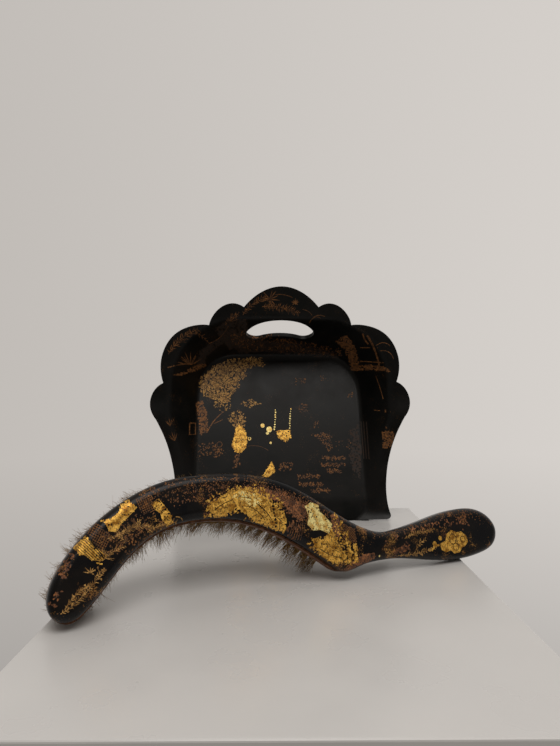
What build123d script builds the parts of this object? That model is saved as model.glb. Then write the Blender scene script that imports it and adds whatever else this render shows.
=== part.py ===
from build123d import *
import math
import os

# A crumb pan and a crescent crumb brush. The pan stands on its lip and leans back;
# the brush stands in front of it on its tip and handle, its lacquered face forwards.
# Millimetres, +X to the right along the pan's lip, +Y backwards, +Z up.

# ---- pan: driving dimensions, in the pan's own plan (across, up from the lip) ----
pan_wall = 3.6
floor_half_width = 82.5
floor_depth = 168.5
floor_corner_radius = 40.0
lip_depth = 18.7
lip_thickness = 1.8
lip_blend_radius = 60.0
cove_radius = 7.0
crease_reach = 5.5
flange_overrun = 34.0
lip_overrun = 12.0
# how far the walls and the slab run into each other, below the floor and past its edge
wall_tuck = 1.5
floor_tuck = 2.0

# the rim's outline in plan
lip_half_width = 104.5
lip_corner_radius = 4.0
lip_corner_start = 1.0
lip_corner_middle = (1.2, 1.0)
lip_corner_heading = (-0.3, 1)
waist_half_width = 100.2
waist_height = 26.0
flank_swell = 4.0
flank_rise = 31.7
ear_half_width = 122.7
ear_height = 105.5
ear_start_inset = 5.2
ear_start_drop = 14.0
ear_heading = (0.56, 1)
shoulder_cusp = (111.2, 125.0)
shoulder_mid = (103.8, 163.4)
side_cusp = (68.4, 178.4)
side_lobe_mid = (57.0, 189.7)
top_cusp = (34.9, 188.2)
pan_height = 203.0

# the bean-shaped hand-hole in the back wall
hole_half_width = 33.2
hole_low = 38.5
hole_top = 67.0
hole_lobe_drop = 6.0
hole_end_radius = 9.5
hole_cut_start = 5.0
hole_cut_length = 45.0

# how far the pan leans back from upright
pan_lean = 18.0

# ---- brush: driving dimensions, in the brush's own plane (along, up) ----
brush_length = 321.5
arch_height = 76.5
cover_thickness = 8.6
face_round = 5.6
handle_back_depth = 6.2
handle_back_round = 4.4
board_thickness = 5.0
board_reveal = 1.3
shoulder_gap = 0.1

tuft_rows = 5
tufts_per_row = 26
tuft_radius = 1.4
tuft_end_radius = 2.15
tuft_length = 22.0
tuft_clearance = 0.05
hollow_splay = 4.6
arch_splay = 2.2
edge_margin = 4.6
heel_clear = 0.035
tip_clear = 0.025

wire_width = 0.6
wire_height = 0.5
wire_lift = 0.1
groove_clearance = 0.2

pin_count = 5
pin_radius = 0.6
pin_head_radius = 1.15
pin_head_height = 0.8
pin_bite = 4.0
pin_clearance = 0.03

# where the brush stands: its tip relative to the middle of the pan's lip
brush_across = -130.0
brush_forward = -224.6
brush_turn = 22.2
brush_lean = 17.5
table_gap = 0.15


# ---------------------------------------------------------------- the pan

def ease(share):
    """Smooth step from 0 to 1."""
    return share * share * (3 - 2 * share)


corner_length = math.pi / 2 * floor_corner_radius
side_length = floor_depth - floor_corner_radius
half_path = side_length + corner_length + floor_half_width - floor_corner_radius

# along the floor's edge from the lip to the middle of the back:
# place, wall rise, wall run, flange slope
wall_stations = [
    (0.0, 3.0, 14.0, 0.06),
    (45.0, 13.5, 14.0, 0.33),
    (ear_height + 1.0, 33.3, 25.0, 0.53),
    (side_length + corner_length / 2, 54.0, 18.5, 0.60),
    (side_length + corner_length + 4.0, 69.0, 11.0, 0.66),
    (half_path, 71.5, 10.3, 0.68),
]


def wall_at(place):
    """Wall rise, wall run and flange slope at a place along the floor's edge."""
    place = min(max(place, 0.0), half_path)
    for low, high in zip(wall_stations, wall_stations[1:]):
        if place <= high[0]:
            share = ease((place - low[0]) / (high[0] - low[0]))
            return [a + (b - a) * share for a, b in zip(low[1:], high[1:])]


def floor_edge_at(place):
    """Point on the floor's edge, and the outward direction there."""
    if place < side_length:
        return Vector(floor_half_width, place), Vector(1, 0)
    if place < side_length + corner_length:
        turn = (place - side_length) / floor_corner_radius
        out = Vector(math.cos(turn), math.sin(turn))
        centre = Vector(floor_half_width - floor_corner_radius, side_length)
        return centre + out * floor_corner_radius, out
    across = half_path - place
    return Vector(across, floor_depth), Vector(0, 1)


def rib(place, side):
    """Closed section of wall and flange, standing on the floor's edge."""
    foot, out = floor_edge_at(place)
    rise, run, slope = wall_at(place)
    wall_dir = Vector(run, rise).normalized()
    flange_dir = Vector(1, slope).normalized()
    bend = wall_dir.get_angle(flange_dir)
    sink = pan_wall + wall_tuck
    crease = Vector(run, rise)
    start = Vector(-run, -rise) * (sink / rise)
    end = crease + flange_dir * flange_overrun

    def under(direction):
        return Vector(direction.Y, -direction.X) * pan_wall

    inset = pan_wall * math.tan(math.radians(bend / 2))
    low_crease = crease + under(wall_dir) - wall_dir * inset
    reach_under = crease_reach - inset

    def at(p):
        plan = foot + out * p.X
        return Vector(side * plan.X, plan.Y, p.Y)

    a = crease - wall_dir * crease_reach
    b = crease + flange_dir * crease_reach
    c = end
    d = end + under(flange_dir)
    e = low_crease + flange_dir * reach_under
    f = low_crease - wall_dir * reach_under
    g = start + under(wall_dir)
    edges = [
        Edge.make_line(at(start), at(a)),
        Edge.make_bezier(at(a), at(crease), at(b)),
        Edge.make_line(at(b), at(c)),
        Edge.make_line(at(c), at(d)),
        Edge.make_line(at(d), at(e)),
        Edge.make_bezier(at(e), at(low_crease), at(f)),
        Edge.make_line(at(f), at(g)),
        Edge.make_line(at(g), at(start)),
    ]
    return Wire(edges)


def pan_walls():
    """Wall and flange in one piece, from one end of the lip round to the other."""
    side_steps = 9
    corner_steps = 5
    back_steps = 3
    places = [-lip_overrun + (side_length + lip_overrun) * i / side_steps for i in range(side_steps)]
    places += [side_length + corner_length * i / corner_steps for i in range(corner_steps)]
    corner_end = side_length + corner_length
    places += [corner_end + (half_path - corner_end) * i / back_steps for i in range(back_steps)]
    right = [rib(place, 1) for place in places]
    left = [rib(place, -1) for place in reversed(places)]
    return Solid.make_loft(right + [rib(half_path, 1)] + left)


def pan_floor():
    """The floor's slab, its front strip sloping down to a thin lip."""
    lip_top = lip_thickness - pan_wall
    reach = floor_half_width + floor_tuck
    back = floor_depth + floor_tuck
    profile = FilletPolyline(
        (-lip_overrun, lip_top + lip_overrun * lip_top / lip_depth),
        (lip_depth, 0),
        (back, 0),
        radius=lip_blend_radius,
    )
    lowest = -pan_wall - wall_tuck
    section = Wire([
        *profile.edges(),
        Edge.make_line((back, 0), (back, lowest)),
        Edge.make_line((back, lowest), (-lip_overrun, lowest)),
        Edge.make_line((-lip_overrun, lowest), profile @ 0),
    ])
    side_on = Plane(origin=(-reach, 0, 0), x_dir=(0, 1, 0), z_dir=(1, 0, 0))
    slab = extrude(side_on * make_face(section), amount=2 * reach)
    corner = floor_corner_radius + floor_tuck
    plan = Pos(0, back - floor_depth) * RectangleRounded(2 * reach, 2 * floor_depth, corner)
    return slab & extrude(Plane.XY.offset(lowest) * plan, amount=2 * -lowest)


def rim_outline():
    """The scalloped outline of the rim in plan, closed along the lip."""
    corner = (lip_half_width, lip_corner_radius)
    ear_start = (ear_half_width - ear_start_inset, ear_height - ear_start_drop)
    lip_end = (lip_half_width - lip_corner_radius - lip_corner_start, 0)
    corner_middle = (lip_half_width - lip_corner_middle[0], lip_corner_middle[1])
    half = [
        Line((0, 0), lip_end),
        ThreePointArc(lip_end, corner_middle, corner),
        Spline(
            corner,
            (waist_half_width, waist_height),
            (waist_half_width + flank_swell, waist_height + flank_rise),
            ear_start,
            tangents=[lip_corner_heading, ear_heading],
        ),
        ThreePointArc(ear_start, (ear_half_width, ear_height), shoulder_cusp),
        ThreePointArc(shoulder_cusp, shoulder_mid, side_cusp),
        ThreePointArc(side_cusp, side_lobe_mid, top_cusp),
    ]
    top = ThreePointArc(top_cusp, (0, pan_height), (-top_cusp[0], top_cusp[1]))
    right = [edge for line in half for edge in line.edges()]
    left = [edge.mirror(Plane.YZ) for edge in right]
    return make_face(Wire(right + top.edges() + left))


def hand_hole():
    """Bean-shaped cutter through the back wall: two round ends and two arched sides."""
    across = hole_half_width - hole_end_radius
    height = hole_low - hole_lobe_drop + hole_end_radius

    def arch_centre(reach):
        """Height of the centre of an arc whose crown is reach less the end's radius."""
        return (across**2 + height**2 - reach**2) / (2 * (height - reach))

    top_centre = arch_centre(hole_top - hole_end_radius)
    low_centre = arch_centre(hole_low + hole_end_radius)
    up = Vector(across, height - top_centre).normalized() * hole_end_radius
    down = Vector(-across, low_centre - height).normalized() * hole_end_radius
    high_end = (across + up.X, height + up.Y)
    low_end = (across + down.X, height + down.Y)
    outline = Wire([
        *ThreePointArc((-low_end[0], low_end[1]), (0, hole_low), low_end).edges(),
        *ThreePointArc(low_end, (hole_half_width, height), high_end).edges(),
        *ThreePointArc(high_end, (0, hole_top), (-high_end[0], high_end[1])).edges(),
        *ThreePointArc(
            (-high_end[0], high_end[1]), (-hole_half_width, height), (-low_end[0], low_end[1])
        ).edges(),
    ])
    start = (0, floor_depth - hole_cut_start, 0)
    facing_back = Plane(origin=start, x_dir=(1, 0, 0), z_dir=(0, -1, 0))
    return extrude(facing_back * make_face(outline), amount=-hole_cut_length)


def make_pan():
    """One moulded shell: floor, walls, scalloped flange and hand-hole."""
    body = pan_floor() + pan_walls()
    above_rim = wall_stations[-1][1] + 2 * flange_overrun
    trim = extrude(Plane.XY.offset(-pan_wall) * rim_outline(), amount=pan_wall + above_rim)
    body = (body & trim) - hand_hole()
    lip_top = lip_thickness - pan_wall
    near = lip_thickness / 36
    cove = [
        edge for edge in body.edges()
        if edge.geom_type != GeomType.LINE
        and edge.bounding_box().max.Z < near
        and edge.bounding_box().min.Z > lip_top - near
    ]
    return body.fillet(cove_radius, cove)


# -------------------------------------------------------------- the brush

# The outline is a template drawn at this length and height, then stretched to size.
template_length = 330.6
template_height = 77.3


def drawn(*points):
    """Template points at the brush's size."""
    wide = brush_length / template_length
    tall = arch_height / template_height
    return [(along * wide, up * tall) for along, up in points]


# clockwise from the heel: hollow edge to the tip, back of the arch, handle, heel
hollow_edge = drawn(
    (170.6, 8.3), (156, 19.3), (141, 29.7), (124, 38.8), (106, 44.9), (85, 47.4),
    (64, 45.6), (44, 36.8), (24, 18.1), (12.6, 6.6), (3.0, 1.3),
)
arch_edge = drawn(
    (-5.2, 5.0), (-8.7, 14.0), (-6.4, 24.0), (2.0, 37.2), (14.6, 50.3), (35.8, 64.8),
    (58.3, 73.5), (85, 76.4), (112, 74.9), (135, 70.0), (155, 60.6), (176, 45.7),
    (196.5, 32.6),
)
handle_edge = drawn(
    (214.4, 26.2), (232, 26.8), (252, 30.0), (271.5, 33.4), (290, 34.9), (306, 33.0),
    (317, 26.5), (321.9, 16.5), (317.5, 6.6), (303, 0.9), (280, -0.9), (256, 1.8),
    (232, 6.0), (210, 7.4), (192, 5.6), (178.6, 4.4),
)
heel = Vector(*handle_edge[-1])
shoulder = Vector(*arch_edge[-1])
hollow_line = Spline(*hollow_edge)
arch_line = Spline(*arch_edge)


def stock_face(reveal):
    """The brush's whole outline, the head's hollow edge raised by reveal."""
    hollow = [(along, up + reveal) for along, up in hollow_edge]
    outline = Spline(*hollow, *arch_edge, *handle_edge, periodic=True)
    return make_face(Wire([outline.edge()]))


def rounded_slab(face, height, radius):
    """Slab on the joint plane with its outer edge rounded."""
    slab = extrude(face, amount=height)
    outer = max(slab.faces(), key=lambda f: abs(f.center().Z))
    return slab.fillet(radius, outer.edges())


def beyond_shoulder(side, gap):
    """Everything on the grip's side (1) or the head's side (-1) of the shoulder."""
    line = Plane(origin=heel, x_dir=(shoulder - heel).normalized(), z_dir=(0, 0, 1))
    reach = 4 * brush_length
    return line * Pos(0, -side * (reach / 2 + gap)) * Box(reach, reach, reach)


def head_point(place, share):
    """Point of the head: place runs from heel to tip, share from hollow edge to arch."""
    low = hollow_line.position_at(place)
    high = arch_line.position_at(1 - place)
    return low + (high - low) * share


def tuft_roots(row):
    """Where one row's tufts are set, and how far their ends spread from there."""
    roots = []
    stagger = 0.25 if row % 2 else -0.25
    for index in range(tufts_per_row):
        share_along = (index + 0.5 + stagger) / tufts_per_row
        place = heel_clear + (1 - heel_clear - tip_clear) * share_along
        across = head_point(place, 1) - head_point(place, 0)
        inset = edge_margin / across.length
        row_share = row / (tuft_rows - 1)
        share = inset + (1 - 2 * inset) * row_share
        spread = arch_splay * row_share - hollow_splay * (1 - row_share)
        roots.append((head_point(place, share), across.normalized() * spread))
    return roots


def upright(radius, low, high, centre):
    """Straight round bar from one height to another."""
    bar = Cylinder(radius, high - low, align=(Align.CENTER, Align.CENTER, Align.MIN))
    return Pos(centre.X, centre.Y, low) * bar


def stitch_line(row, width):
    """Outline of the straight stitches from tuft to tuft along a row."""
    path = Polyline(*[(root.X, root.Y) for root, spread in tuft_roots(row)])
    return path.offset_2d(width / 2, kind=Kind.INTERSECTION)


def stitches(row, width, low, high):
    """A row's stitches as a flat ribbon between two heights above the joint plane."""
    ribbon = make_face(stitch_line(row, width))
    return extrude(Plane.XY.offset(low) * ribbon, amount=high - low)


def tuft(root, spread):
    """One tuft: a round plug in its bore, then bristles that fan out."""
    plug = upright(tuft_radius, -board_thickness, 0, root)
    low = Vector(root.X, root.Y, -board_thickness)
    end = low + spread - Vector(0, 0, tuft_length)
    fan = Solid.make_loft([
        Pos(low.X, low.Y, low.Z) * Wire.make_circle(tuft_radius),
        Pos(end.X, end.Y, end.Z) * Wire.make_circle(tuft_end_radius),
    ], ruled=True)
    return plug + fan


def pin_centres():
    """Pins stand between the rows, half-way between neighbouring tufts."""
    row = tuft_rows // 2
    centres = []
    for index in range(pin_count):
        first = round((index + 0.5) * (tufts_per_row - 1) / pin_count)
        own = [root for root, spread in tuft_roots(row)]
        other = [root for root, spread in tuft_roots(row - 1)]
        ring = own[first:first + 2] + other[first:first + 2]
        centres.append(sum(ring, Vector()) * (1 / len(ring)))
    return centres


def pins(clearance):
    """Small round-headed pins from the underside, through the board into the cover."""
    made = []
    for centre in pin_centres():
        shank = upright(pin_radius + clearance, -board_thickness, pin_bite + clearance, centre)
        head = upright(pin_head_radius, -board_thickness - pin_head_height, -board_thickness, centre)
        made.append(shank + head)
    return made


def make_cover():
    """The lacquered stock: head cover and handle carved from one board, grooved for the wires."""
    face = stock_face(board_reveal)
    front = rounded_slab(face, cover_thickness, face_round)
    back = rounded_slab(face, -handle_back_depth, handle_back_round)
    body = front + (back & beyond_shoulder(1, 0))
    groove_top = wire_lift + wire_height + groove_clearance
    for row in range(tuft_rows):
        body = body - stitches(row, wire_width + 2 * groove_clearance, -board_thickness, groove_top)
    for pin in pins(pin_clearance):
        body = body - pin
    return body


def round_hole(radius, centre):
    """Outline of a round hole in the board."""
    return Pos(centre.X, centre.Y) * Wire.make_circle(radius)


def make_board():
    """The bristle board under the head, drilled right through for the tufts and pins."""
    outline = (stock_face(0) & beyond_shoulder(-1, shoulder_gap)).face().outer_wire()
    holes = [round_hole(pin_radius + pin_clearance, centre) for centre in pin_centres()]
    for row in range(tuft_rows):
        for root, spread in tuft_roots(row):
            holes.append(round_hole(tuft_radius + tuft_clearance, root))
    return extrude(Face(outline, holes), amount=-board_thickness)


brush_turned = math.radians(brush_turn)
brush_leant = math.radians(brush_lean)
brush_stance = Plane(
    origin=(0, 0, 0),
    x_dir=(math.cos(brush_turned), math.sin(brush_turned), 0),
    z_dir=(
        math.sin(brush_turned) * math.cos(brush_leant),
        -math.cos(brush_turned) * math.cos(brush_leant),
        math.sin(brush_leant),
    ),
).location
pan_leant = math.radians(pan_lean)
pan_stance = Plane(
    origin=(0, 0, 0),
    x_dir=(1, 0, 0),
    z_dir=(0, -math.cos(pan_leant), math.sin(pan_leant)),
).location


# --------------------------------------------------- standing them on the table

pan = pan_stance * make_pan()
pan = Pos(0, 0, -pan.bounding_box().min.Z) * pan

cover = make_cover()
board = make_board()
stock_low = min((brush_stance * piece).bounding_box().min.Z for piece in (cover, board))
brush_spot = Pos(brush_across, brush_forward, table_gap - stock_low) * brush_stance
table_reach = 4 * brush_length
above_table = Pos(0, 0, table_reach / 2) * Box(table_reach, table_reach, table_reach)


def flat_on_table(shape):
    """Bristle ends are bent level where they meet the table."""
    placed = brush_spot * shape
    return placed & above_table if placed.bounding_box().min.Z < 0 else placed


standing = {
    "pan_body": [pan],
    "brush_back": [brush_spot * cover],
    "bristle_board": [brush_spot * board],
    "board_pins": [brush_spot * pin for pin in pins(0)],
}
for row in range(tuft_rows):
    wire = stitches(row, wire_width, wire_lift, wire_lift + wire_height)
    standing[f"tuft_row_{row + 1}"] = [flat_on_table(tuft(*place)) for place in tuft_roots(row)]
    standing[f"draw_wire_{row + 1}"] = [brush_spot * wire]

# the origin is the middle of the whole set's footprint
boxes = [piece.bounding_box() for pieces in standing.values() for piece in pieces]
middle_x = (min(box.min.X for box in boxes) + max(box.max.X for box in boxes)) / 2
middle_y = (min(box.min.Y for box in boxes) + max(box.max.Y for box in boxes)) / 2
to_origin = Pos(-middle_x, -middle_y, 0)

os.makedirs("parts", exist_ok=True)
for node, pieces in standing.items():
    solids = [solid for piece in pieces for solid in (to_origin * piece).solids()]
    shape = solids[0] if len(solids) == 1 else Compound(children=solids)
    export_step(shape, f"parts/{node}.step")
    print(node, len(solids))
print("middle of the pan's lip", round(-middle_x, 3), round(-middle_y, 3))
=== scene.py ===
# %% [markdown]
# # Dressing a japanned crumb pan and its brush
# The frame already holds the true sizes: a scalloped pan and a crescent brush, standing as they
# stand on a table. This lesson adds what the eye sees: black lacquer, gilding, bristles, light.
# Every length below is a real one, so a small helper turns millimetres into Blender's metres.

# %% Load the frame
import math
import random

import bpy
import numpy as np
from mathutils import Matrix, Vector
from mathutils.bvhtree import BVHTree


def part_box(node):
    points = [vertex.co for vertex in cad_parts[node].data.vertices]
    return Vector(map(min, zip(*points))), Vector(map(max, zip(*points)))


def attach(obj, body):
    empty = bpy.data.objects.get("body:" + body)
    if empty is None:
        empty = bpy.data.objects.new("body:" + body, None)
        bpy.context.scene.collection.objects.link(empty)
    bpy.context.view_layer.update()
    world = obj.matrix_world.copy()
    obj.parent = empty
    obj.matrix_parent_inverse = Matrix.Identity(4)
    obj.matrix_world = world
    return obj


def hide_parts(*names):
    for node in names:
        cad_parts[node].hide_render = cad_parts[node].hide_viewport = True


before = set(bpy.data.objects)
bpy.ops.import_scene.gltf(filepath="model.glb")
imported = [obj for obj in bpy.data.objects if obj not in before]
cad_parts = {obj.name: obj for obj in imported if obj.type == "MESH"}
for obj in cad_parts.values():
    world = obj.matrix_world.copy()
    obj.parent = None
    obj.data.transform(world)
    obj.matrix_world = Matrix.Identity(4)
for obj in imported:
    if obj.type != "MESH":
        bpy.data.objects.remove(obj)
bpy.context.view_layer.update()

mm = 0.001
random.seed(11)

# %% [markdown]
# ## Colours and nodes
# Colours are written as the sRGB hex values one would pick off a paint card; shaders want linear
# light, so one function converts them. One more helper adds a node with its settings and links;
# writing each `nodes.new` out by hand would do the same in five times the lines.

# %% Two helpers for every material
def paint(code):
    """An sRGB hex colour as the linear RGBA that a shader wants."""
    parts = [int(code[i:i + 2], 16) / 255 for i in (1, 3, 5)]
    light = [c / 12.92 if c <= 0.04045 else ((c + 0.055) / 1.055) ** 2.4 for c in parts]
    return (*light, 1.0)


def add(tree, kind, inputs=None, stops=None, **settings):
    """One node. inputs maps a socket, by name or by number where names repeat, to a value or
    to an output; stops are a ramp's colours, each with its place from 0 to 1."""
    made = tree.nodes.new(kind)
    for key, value in settings.items():
        setattr(made, key, value)
    for key, value in (inputs or {}).items():
        if isinstance(value, bpy.types.NodeSocket):
            tree.links.new(value, made.inputs[key])
        else:
            made.inputs[key].default_value = value
    for place, code in stops or []:
        if place in (0, 1):
            made.color_ramp.elements[-place].color = paint(code)  # the first, or the last
        else:
            made.color_ramp.elements.new(place).color = paint(code)
    return made


def material(name):
    """A new material with its shader, and the object's own coordinates in metres."""
    made = bpy.data.materials.new(name)
    made.use_nodes = True
    tree = made.node_tree
    shader = tree.nodes["Principled BSDF"]
    place = add(tree, "ShaderNodeTexCoord").outputs["Object"]
    return made, tree, shader, place


def per(size_mm):
    """Texture scale that repeats about once in a real size."""
    return 1 / (size_mm * mm)


print("paint('#808080') is", round(paint("#808080")[0], 3))

# %% [markdown]
# ## Black japan
# Japanning is lampblack in oil varnish, stoved coat over coat and rubbed down. On old pieces it
# is never one black: it is greenish or brown where it is thin, dusted with bronze from worn
# decoration, and its gloss is cloudy from handling. A flat black shader would look like plastic,
# so noises of four real sizes drive the colour, the dust, the gloss and a faint orange peel.

# %% Lacquer
def black_japan(name, deep, thin, dust, dust_share, gloss, glare):
    """Lacquer: deep and thin are its two blacks, dust the two bronzes rubbed into it."""
    made, tree, shader, place = material(name)
    cloud = add(tree, "ShaderNodeTexNoise",
                {"Vector": place, "Scale": per(26), "Detail": 5.0, "Roughness": 0.6})
    ground = add(tree, "ShaderNodeValToRGB", {"Fac": cloud.outputs["Fac"]},
                 stops=[(0, deep), (0.42, deep), (0.66, thin), (1, thin)])
    # bronze dust is far finer than this; it is drawn at 0.8 mm so that it shows
    grains = add(tree, "ShaderNodeTexNoise",
                 {"Vector": place, "Scale": per(0.8), "Detail": 3.0, "Roughness": 0.75})
    drift = add(tree, "ShaderNodeTexNoise",
                {"Vector": place, "Scale": per(14), "Detail": 4.0, "Roughness": 0.6})
    powder = add(tree, "ShaderNodeValToRGB", {"Fac": drift.outputs["Color"]},
                 stops=[(0, dust[0]), (0.42, dust[0]), (0.6, dust[1]), (1, dust[1])])
    where = add(tree, "ShaderNodeMapRange",
                {"Value": drift.outputs["Fac"], 1: 0.46, 2: 0.66, 3: 0.0, 4: dust_share})
    limit = add(tree, "ShaderNodeMath", {0: 0.70, 1: where.outputs[0]}, operation="SUBTRACT")
    grain = add(tree, "ShaderNodeMath", {0: grains.outputs["Fac"], 1: limit.outputs[0]},
                operation="SUBTRACT")
    speck = add(tree, "ShaderNodeMath", {0: grain.outputs[0], 1: 14.0}, operation="MULTIPLY",
                use_clamp=True)
    colour = add(tree, "ShaderNodeMix",
                 {0: speck.outputs[0], 6: ground.outputs["Color"], 7: powder.outputs["Color"]},
                 data_type="RGBA")
    sheen = add(tree, "ShaderNodeMapRange",
                {"Value": cloud.outputs["Fac"], 1: 0.3, 2: 0.7, 3: gloss, 4: gloss + 0.16})
    peel = add(tree, "ShaderNodeTexNoise",
               {"Vector": place, "Scale": per(3.2), "Detail": 3.0, "Roughness": 0.5})
    relief = add(tree, "ShaderNodeBump",
                 {"Height": peel.outputs["Fac"], "Strength": 0.18, "Distance": 0.1 * mm})
    tree.links.new(colour.outputs[2], shader.inputs["Base Color"])
    tree.links.new(sheen.outputs[0], shader.inputs["Roughness"])
    tree.links.new(relief.outputs["Normal"], shader.inputs["Normal"])
    shader.inputs["IOR"].default_value = 1.5
    shader.inputs["Specular IOR Level"].default_value = glare
    return made


# papier-mache pan: a dry, greenish black, almost without dust
pan_lacquer = black_japan("japanned papier-mache", "#070807", "#0e0c0a", ("#4a3119", "#6e4c2a"),
                          0.12, 0.30, 0.2)
# wooden brush: handled far more, so browner, dusted with rubbed bronze and glossier
brush_lacquer = black_japan("japanned wood", "#07080b", "#15100c", ("#6a3f24", "#a5793f"),
                            0.23, 0.20, 0.2)
print("lacquers:", pan_lacquer.name, "and", brush_lacquer.name)

# %% [markdown]
# ## Gilding
# The decoration is metal: leaf laid on tacky size for the bright figures, bronze and copper
# powders dusted on for foliage and ground. Leaf cracks and rubs off in flecks, powder wears away
# to a stipple, so each finish mixes its metal with the dark ground through a noise at the size
# of the wear. The metal keeps Blender's default IOR; its colour and roughness do the work.

# %% Metals laid on lacquer
def gilding(name, bright, shade, worn_mm, cover, rough, metal):
    """Metal over black: worn_mm is the size of the wear, cover how much metal is left."""
    made, tree, shader, place = material(name)
    tone = add(tree, "ShaderNodeTexNoise",
               {"Vector": place, "Scale": per(3.4), "Detail": 5.0, "Roughness": 0.7})
    leaf = add(tree, "ShaderNodeValToRGB", {"Fac": tone.outputs["Fac"]},
               stops=[(0, shade), (0.40, shade), (0.58, bright), (1, bright)])
    flecks = add(tree, "ShaderNodeTexNoise",
                 {"Vector": place, "Scale": per(worn_mm), "Detail": 3.0, "Roughness": 0.62})
    left = add(tree, "ShaderNodeMapRange",
               {"Value": flecks.outputs["Fac"], 1: 0.62 - 0.3 * cover, 2: 0.74 - 0.3 * cover,
                3: 0.0, 4: 1.0})
    colour = add(tree, "ShaderNodeMix",
                 {0: left.outputs[0], 6: paint("#1a110a"), 7: leaf.outputs["Color"]},
                 data_type="RGBA")
    metallic = add(tree, "ShaderNodeMath", {0: left.outputs[0], 1: metal}, operation="MULTIPLY")
    gloss = add(tree, "ShaderNodeMapRange",
                {"Value": tone.outputs["Fac"], 1: 0.3, 2: 0.7, 3: rough, 4: rough + 0.18})
    relief = add(tree, "ShaderNodeBump",
                 {"Height": flecks.outputs["Fac"], "Strength": 0.35, "Distance": 0.12 * mm})
    tree.links.new(colour.outputs[2], shader.inputs["Base Color"])
    tree.links.new(metallic.outputs[0], shader.inputs["Metallic"])
    tree.links.new(gloss.outputs[0], shader.inputs["Roughness"])
    tree.links.new(relief.outputs["Normal"], shader.inputs["Normal"])
    return made


gold_leaf = gilding("gold leaf", "#ffc95c", "#a06c1e", 0.9, 0.90, 0.35, 0.7)
pale_leaf = gilding("pale gold leaf", "#fff0a4", "#d8a648", 0.9, 0.95, 0.36, 0.6)
bronze_powder = gilding("bronze powder", "#9a6533", "#5a391c", 0.7, 0.72, 0.5, 0.4)
gold_powder = gilding("gold powder", "#cfa05a", "#805a2a", 0.7, 0.80, 0.45, 0.5)
copper_powder = gilding("copper powder", "#a3693e", "#5e3820", 0.8, 0.70, 0.5, 0.4)
old_bronze = gilding("darkened bronze", "#3b2413", "#1b110a", 1.2, 0.62, 0.6, 0.2)
print("gildings:", gold_leaf.name, pale_leaf.name, bronze_powder.name, copper_powder.name)

# %% [markdown]
# ## Wood, fibre and brass
# The bristle board is beech stained brown, seen as a thin line under the cover. Its grain runs
# with the brush, so the noise is stretched along it. The bristle is a natural fibre: each strand
# has its own brown. Pins and draw wires are brass gone dull.

# %% The plainer materials
board_wood, tree, shader, place = material("stained beech")
grain_run = add(tree, "ShaderNodeMapping", {"Vector": place, "Scale": (0.12, 1.0, 1.0),
                                            "Rotation": (0, 0, math.radians(-22))})
grain = add(tree, "ShaderNodeTexNoise", {"Vector": grain_run.outputs[0], "Scale": per(1.2),
                                         "Detail": 5.0, "Roughness": 0.6})
stain = add(tree, "ShaderNodeValToRGB", {"Fac": grain.outputs["Fac"]},
            stops=[(0, "#2a160a"), (0.4, "#472711"), (0.55, "#6b4120"), (0.7, "#8a5a32"),
                   (1, "#9a683c")])
pores = add(tree, "ShaderNodeBump", {"Height": grain.outputs["Fac"], "Strength": 0.4,
                                     "Distance": 0.15 * mm})
tree.links.new(stain.outputs["Color"], shader.inputs["Base Color"])
tree.links.new(pores.outputs["Normal"], shader.inputs["Normal"])
shader.inputs["Roughness"].default_value = 0.48

fibre, tree, shader, place = material("natural fibre")
strand = add(tree, "ShaderNodeTexNoise", {"Vector": place, "Scale": per(1.6), "Detail": 2.0,
                                          "Roughness": 0.6})
tint = add(tree, "ShaderNodeValToRGB", {"Fac": strand.outputs["Fac"]},
           stops=[(0, "#2e1a0a"), (0.36, "#583a19"), (0.5, "#826231"), (0.64, "#a88550"),
                  (1, "#bd9c66")])
tree.links.new(tint.outputs["Color"], shader.inputs["Base Color"])
shader.inputs["Roughness"].default_value = 0.6
shader.inputs["Specular IOR Level"].default_value = 0.15

dull_brass, tree, shader, place = material("dull brass")
tarnish = add(tree, "ShaderNodeTexNoise", {"Vector": place, "Scale": per(2.5), "Detail": 4.0})
patina = add(tree, "ShaderNodeValToRGB", {"Fac": tarnish.outputs["Fac"]},
             stops=[(0, "#5c431c"), (0.4, "#7d6030"), (0.7, "#b8924c"), (1, "#c9a55c")])
dulling = add(tree, "ShaderNodeMapRange", {"Value": tarnish.outputs["Fac"], 1: 0.3, 2: 0.7,
                                           3: 0.5, 4: 0.28})
tree.links.new(patina.outputs["Color"], shader.inputs["Base Color"])
tree.links.new(dulling.outputs[0], shader.inputs["Roughness"])
shader.inputs["Metallic"].default_value = 1.0

# %% Materials on the frame's own nodes
finishes = {"pan_body": pan_lacquer, "brush_back": brush_lacquer, "bristle_board": board_wood}
for name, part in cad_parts.items():
    finish = finishes.get(name, fibre if name.startswith("tuft") else dull_brass)
    part.data.materials.clear()
    part.data.materials.append(finish)
print("finished", len(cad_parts), "frame nodes")

# %% [markdown]
# ## Drawing sheets
# A japanner draws the design flat, then transfers it. The same works here: motifs are flat
# shapes in millimetres on a sheet held in front of the piece, and each point is pushed straight
# back until it meets the lacquer. The pan's sheet stands upright, measured from the pan's middle
# and from the table; the brush's lies parallel to its face, measured from its lowest left corner.
# Painting the same shapes as a texture would need a very fine image for the same crisp edges.

# %% Find the two sheets
def surface_of(*names):
    """The named nodes as one surface that rays can meet."""
    points, faces = [], []
    for name in names:
        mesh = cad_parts[name].data
        first = len(points)
        points += [vertex.co.copy() for vertex in mesh.vertices]
        faces += [[first + i for i in face.vertices] for face in mesh.polygons]
    return BVHTree.FromPolygons(points, faces)


pan_low, pan_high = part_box("pan_body")
pan_sheet = {
    "origin": Vector(((pan_low.x + pan_high.x) / 2, 0, 0)),
    "across": Vector((1, 0, 0)), "up": Vector((0, 0, 1)), "out": Vector((0, -1, 0)),
    "stretch": 1.0,
    "surface": surface_of("pan_body"),
}

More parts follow.
